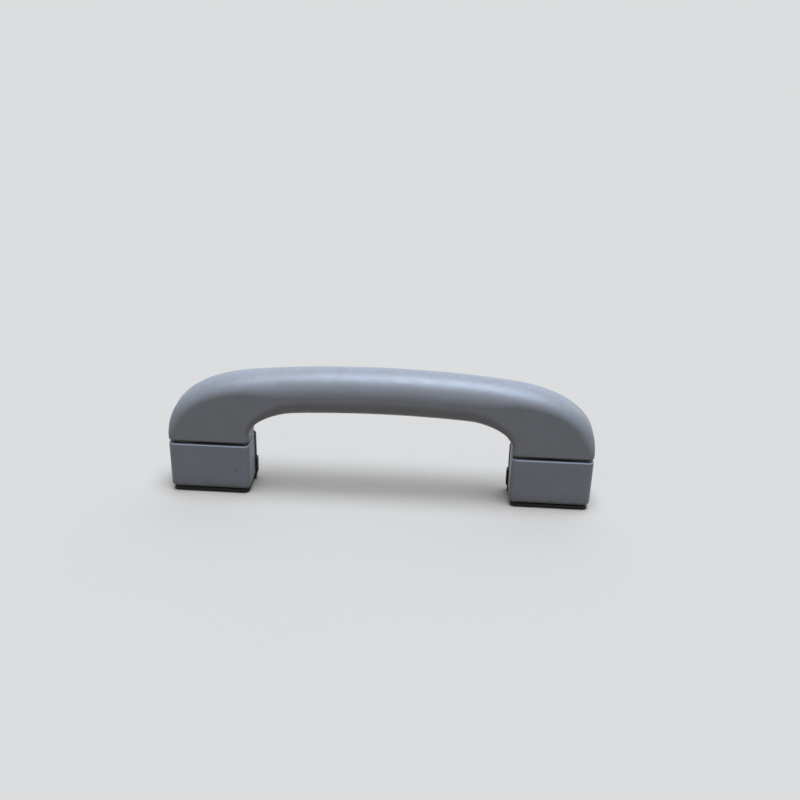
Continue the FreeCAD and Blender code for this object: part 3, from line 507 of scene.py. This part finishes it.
class FinishGrip(bpy.types.Operator):
    """Satin grey grip, polished in the middle by hands"""

    bl_idname = "grab_handle.finish_grip"
    bl_label = "Finish grip"

    def execute(self, context):
        grey = tinted(plastics().grey, 0.95, 0.05)
        dress(moulded_grey("Grey grip plastic", grey, grip_polish_and_seam_shade), "grip")
        return {"FINISHED"}


class FinishCovers(bpy.types.Operator):
    """Screw covers, with a painted floor reflection along the lower edge and a painted rim
    highlight
    """

    bl_idname = "grab_handle.finish_covers"
    bl_label = "Finish screw covers"

    def execute(self, context):
        grey = tinted(plastics().grey, 1.02)
        dress(moulded_grey("Grey cover plastic", grey, cover_mark_and_painted_light), *both_feet("screw_cover"))
        return {"FINISHED"}


class FinishBrackets(bpy.types.Operator):
    """Black hinge brackets"""

    bl_idname = "grab_handle.finish_brackets"
    bl_label = "Finish hinge brackets"

    def execute(self, context):
        dress(black_moulding(), *both_feet("bracket"))
        return {"FINISHED"}


class FinishPivots(bpy.types.Operator):
    """Steel pins and the bushes that they turn in"""

    bl_idname = "grab_handle.finish_pivots"
    bl_label = "Finish pivots"

    def execute(self, context):
        pin_steel = turned_steel("Turned pin steel", "X", 0.2, 0.0015 * MM)
        dress(pin_steel, *both_feet("pivot_pin"))
        bushes = [name for ear in EARS for name in both_feet(f"{ear}_bush")]
        dress(machined_acetal(), "right_damper_rotor", *bushes)
        return {"FINISHED"}


class FinishSpring(bpy.types.Operator):
    """Return spring on the left pin"""

    bl_idname = "grab_handle.finish_spring"
    bl_label = "Finish return spring"

    def execute(self, context):
        dress(drawn_wire(), "left_return_spring")
        return {"FINISHED"}


class FinishDamper(bpy.types.Operator):
    """Barrel of the rotary damper on the right pin, in the brackets' plastic"""

    bl_idname = "grab_handle.finish_damper"
    bl_label = "Finish damper"

    def execute(self, context):
        dress(bpy.data.materials["Black bracket plastic"], "right_damper_barrel")
        return {"FINISHED"}


class FinishSleeves(bpy.types.Operator):
    """Steel sleeves in the screw bosses"""

    bl_idname = "grab_handle.finish_sleeves"
    bl_label = "Finish screw sleeves"

    def execute(self, context):
        sleeve_steel = turned_steel("Turned sleeve steel", "Y", 0.28, 0.003 * MM)
        dress(sleeve_steel, *both_feet("screw_sleeve"))
        return {"FINISHED"}


class FinishStopPads(bpy.types.Operator):
    """Rubber stops on the brackets"""

    bl_idname = "grab_handle.finish_stop_pads"
    bl_label = "Finish stop pads"

    def execute(self, context):
        dress(moulded_rubber(), *both_feet("stop_pad"))
        return {"FINISHED"}


# Stage

def looking_ray(tree):
    """Mask of the rays that show a surface to the eye: straight, in a gloss or through glass."""
    path = add_node(tree, "ShaderNodeLightPath", "Ray kinds").outputs
    looked = calculate(tree, "MAXIMUM", path["Is Camera Ray"], path["Is Glossy Ray"])
    return calculate(tree, "MAXIMUM", looked, path["Is Transmission Ray"])


def plain_floor_material():
    """Matt pale floor with the faintest unevenness."""
    material, tree, shader, place = new_material("Plain floor")
    colour = studio().floor
    cloud = noise(tree, place, cell=0.3, detail=2.0)
    seen = blend_colours(tree, cloud, tinted(colour, 0.985), tinted(colour, 1.015))
    bounced = tinted(colour, studio().floor_bounce)
    shown = blend_colours(tree, looking_ray(tree), bounced, seen)
    tree.links.new(shown, shader.inputs["Base Color"])
    shader.inputs["Roughness"].default_value = 0.9
    shader.inputs["Specular IOR Level"].default_value = 0.0
    return material


def soft_light(name, azimuth, elevation, breadth, strength, colour):
    """Broad distant light; its azimuth runs from +Y towards +X, and all angles are in degrees."""
    bpy.ops.object.light_add(type="SUN")
    lamp = bpy.context.object
    lamp.name = name
    lamp.data.angle = math.radians(breadth)
    lamp.data.energy = strength
    lamp.data.color = colour
    side, rise = math.radians(azimuth), math.radians(elevation)
    source = Vector((math.sin(side) * math.cos(rise), math.cos(side) * math.cos(rise),
                     math.sin(rise)))
    lamp.rotation_euler = source.to_track_quat("Z", "Y").to_euler()


def room_world():
    """Even light all round; the eye and reflections see the pale surroundings there."""
    world = bpy.data.worlds.new("Studio")
    bpy.context.scene.world = world
    world.use_nodes = True
    tree = world.node_tree
    even = tree.nodes["Background"]
    even.label = "Even light"
    even.inputs["Color"].default_value = (0.96, 0.98, 1.0, 1.0)
    even.inputs["Strength"].default_value = studio().room_light
    seen = add_node(tree, "ShaderNodeBackground", "Pale surroundings",
                    {"Color": studio().surroundings, "Strength": 1.0})
    both = add_node(tree, "ShaderNodeMixShader", "By ray kind",
                    {0: looking_ray(tree), 1: even.outputs[0], 2: seen.outputs[0]})
    tree.links.new(both.outputs[0], tree.nodes["World Output"].inputs["Surface"])


def photo_camera():
    """Camera at the photo's angle, from its pitch, yaw, roll and focal length in pixels."""
    sizes = studio()
    forward = Vector((math.sin(sizes.yaw) * math.cos(sizes.pitch),
                      math.cos(sizes.yaw) * math.cos(sizes.pitch), -math.sin(sizes.pitch)))
    level = Vector((math.cos(sizes.yaw), -math.sin(sizes.yaw), 0.0))
    down = forward.cross(level)
    right = level * math.cos(sizes.roll) - down * math.sin(sizes.roll)
    up = -(level * math.sin(sizes.roll) + down * math.cos(sizes.roll))
    bpy.ops.object.camera_add()
    camera = bpy.context.object
    camera.name = "Photo camera"
    turn = Matrix((right, up, -forward)).transposed().to_4x4()
    camera.matrix_world = Matrix.Translation(Vector(sizes.camera_place)) @ turn
    camera.data.sensor_width = SENSOR_MM
    camera.data.lens = sizes.focal_pixels / PHOTO_PIXELS * SENSOR_MM
    camera.data.clip_start = NEAREST_SEEN
    bpy.context.scene.camera = camera


class BuildStage(bpy.types.Operator):
    """Plain floor, soft lamps and the photo's camera"""

    bl_idname = "grab_handle.build_stage"
    bl_label = "Build stage"

    def execute(self, context):
        sizes = studio()
        bpy.ops.mesh.primitive_circle_add(
            vertices=FLOOR_SIDES, radius=FLOOR_RADIUS, fill_type="NGON")
        floor = context.object
        floor.name = "Floor"
        floor.data.materials.append(plain_floor_material())
        soft_light("Overhead light", azimuth=145.0, elevation=83.0, breadth=38.0,
                   strength=sizes.overhead_light, colour=(0.67, 0.8, 1.0))
        soft_light("Window light", azimuth=10.0, elevation=38.0, breadth=80.0,
                   strength=sizes.window_light, colour=(0.67, 0.81, 1.0))
        soft_light("Front light", azimuth=200.0, elevation=46.0, breadth=40.0,
                   strength=sizes.front_light, colour=(1.0, 0.98, 0.95))
        room_world()
        photo_camera()
        context.scene.view_settings.view_transform = "Standard"
        return {"FINISHED"}


# Panel, registration and the run

OPERATORS = (FinishGrip, FinishCovers, FinishBrackets, FinishPivots, FinishSpring, FinishDamper,
             FinishSleeves, FinishStopPads, BuildStage)


class GrabHandlePanel(bpy.types.Panel):
    """Lists the handle's settings and operators"""

    bl_idname = "VIEW3D_PT_grab_handle"
    bl_label = "Grab handle"
    bl_space_type = "VIEW_3D"
    bl_region_type = "UI"
    bl_category = "Grab handle"

    def draw(self, context):
        for group in (plastics(), metals(), studio()):
            box = self.layout.box()
            for name in group.__annotations__:
                box.prop(group, name)
        for operator in OPERATORS:
            self.layout.operator(operator.bl_idname)


CLASSES = (GrabHandlePlastics, GrabHandleMetals, GrabHandleStage, *OPERATORS, GrabHandlePanel)


def register():
    """Registers the settings, operators and panel."""
    for kind in CLASSES:
        bpy.utils.register_class(kind)
    bpy.types.Scene.grab_handle_plastics = bpy.props.PointerProperty(type=GrabHandlePlastics)
    bpy.types.Scene.grab_handle_metals = bpy.props.PointerProperty(type=GrabHandleMetals)
    bpy.types.Scene.grab_handle_stage = bpy.props.PointerProperty(type=GrabHandleStage)


def unregister():
    """Takes them out again."""
    del bpy.types.Scene.grab_handle_stage
    del bpy.types.Scene.grab_handle_metals
    del bpy.types.Scene.grab_handle_plastics
    for kind in reversed(CLASSES):
        bpy.utils.unregister_class(kind)


def main():
    """Builds everything in order."""
    register()
    bpy.ops.object.select_all(action="DESELECT")
    for operator in OPERATORS:
        area, name = operator.bl_idname.split(".")
        getattr(getattr(bpy.ops, area), name)()


if __name__ == "__main__":
    main()
